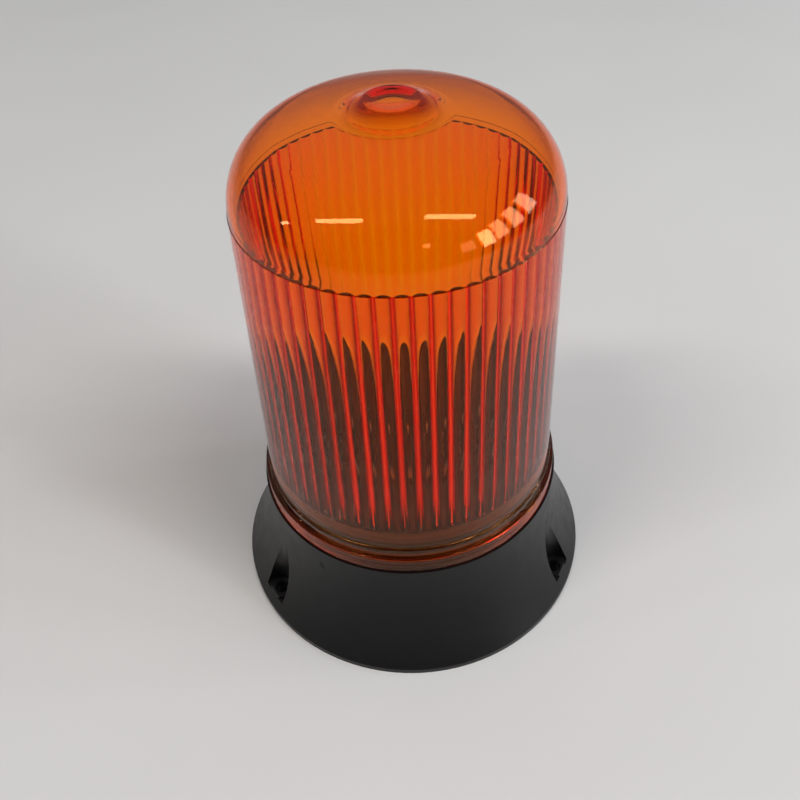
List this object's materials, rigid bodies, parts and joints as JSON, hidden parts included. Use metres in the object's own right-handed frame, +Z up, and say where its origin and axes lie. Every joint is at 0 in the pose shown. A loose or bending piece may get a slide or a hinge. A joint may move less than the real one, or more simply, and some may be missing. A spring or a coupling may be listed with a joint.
{
  "type": "rotating beacon",
  "caption": "Amber rotating warning beacon: ribbed bayonet lens on a flared black base with fixing pockets, geared reflector turning round a lamp.",
  "frame": {"origin": "centre of the base's mounting face", "axes": "+Z up along the lens axis; -Y towards the side between two fixing pockets, where the reflector shows its back at rest"},
  "size_m": [0.148, 0.148, 0.2084],
  "materials": {
    "black_moulding": "satin moulded black",
    "gasket_foam": "closed-cell foam",
    "black_rubber": "matt",
    "zinc_plate": "zinc-plated sheet",
    "turned_steel": "turned, bright",
    "spring_steel": "oil-blackened",
    "nickel_brass": "drawn brass",
    "phenolic": "brown laminate",
    "lamp_glass": "clear",
    "motor_steel": "nickel-plated can",
    "white_nylon": "natural nylon",
    "board_laminate": "green solder resist",
    "terminal_plastic": "moulded green",
    "capacitor_can": "plain can",
    "sinter_bronze": "sintered bronze",
    "reflector_black": "black back, mirror-coated bowl",
    "weight_steel": "plain",
    "zinc_screws": "zinc-plated",
    "amber_lens": "transparent amber polycarbonate"
  },
  "bodies": {
    "base": {"base_housing": "black_moulding", "base_plate": "black_moulding", "base_gasket": "gasket_foam", "cable_grommet": "black_rubber", "lens_seal": "black_rubber", "chassis_plate": "zinc_plate", "lamp_post": "turned_steel", "post_circlip": "spring_steel", "lamp_holder": "nickel_brass", "lamp_insulator": "phenolic", "bulb_cap": "nickel_brass", "bulb_glass": "lamp_glass", "idler_pin": "turned_steel", "idler_clip": "spring_steel", "motor_can": "motor_steel", "motor_end_bell": "white_nylon", "motor_clamp": "zinc_plate", "circuit_board": "board_laminate", "terminal_block": "terminal_plastic", "capacitor": "capacitor_can", "plate_screw_1": "zinc_screws", "plate_screw_2": "zinc_screws", "plate_screw_3": "zinc_screws", "chassis_screw_1": "zinc_screws", "chassis_screw_2": "zinc_screws", "chassis_screw_3": "zinc_screws", "clamp_screw_1": "zinc_screws", "clamp_screw_2": "zinc_screws", "board_screw_1": "zinc_screws", "board_screw_2": "zinc_screws"},
    "rotor": {"ring_gear": "white_nylon", "rotor_bush": "sinter_bronze", "reflector": "reflector_black", "reflector_bracket": "zinc_plate", "counterweight": "weight_steel", "bracket_screw_1": "zinc_screws", "bracket_screw_2": "zinc_screws", "weight_screw_1": "zinc_screws", "weight_screw_2": "zinc_screws", "reflector_screw": "zinc_screws"},
    "idler": {"idler_gear": "white_nylon"},
    "pinion": {"drive_pinion": "sinter_bronze", "motor_shaft": "turned_steel"},
    "lens": {"lens": "amber_lens"}
  },
  "joints": [
    {"name": "rotor_spin", "type": "hinge", "parent": "base", "child": "rotor", "pos_m": [0, 0, 0.0585], "axis": [0, 0, 1], "continuous": true},
    {"name": "idler_spin", "type": "hinge", "parent": "base", "child": "idler", "pos_m": [-0.02494, 0.0144, 0.056], "axis": [0, 0, 1], "continuous": true},
    {"name": "pinion_spin", "type": "hinge", "parent": "base", "child": "pinion", "pos_m": [-0.03221, -0.00305, 0.054], "axis": [0, 0, 1], "continuous": true},
    {"name": "lens_twist", "type": "hinge", "parent": "base", "child": "lens", "pos_m": [0, 0, 0.0513], "axis": [0, 0, 1], "range_deg": [0, 20]}
  ],
  "couplings": [
    {"joint": "idler_spin", "follows": "rotor_spin", "ratio": -4.3333},
    {"joint": "pinion_spin", "follows": "rotor_spin", "ratio": 10.833}
  ]
}
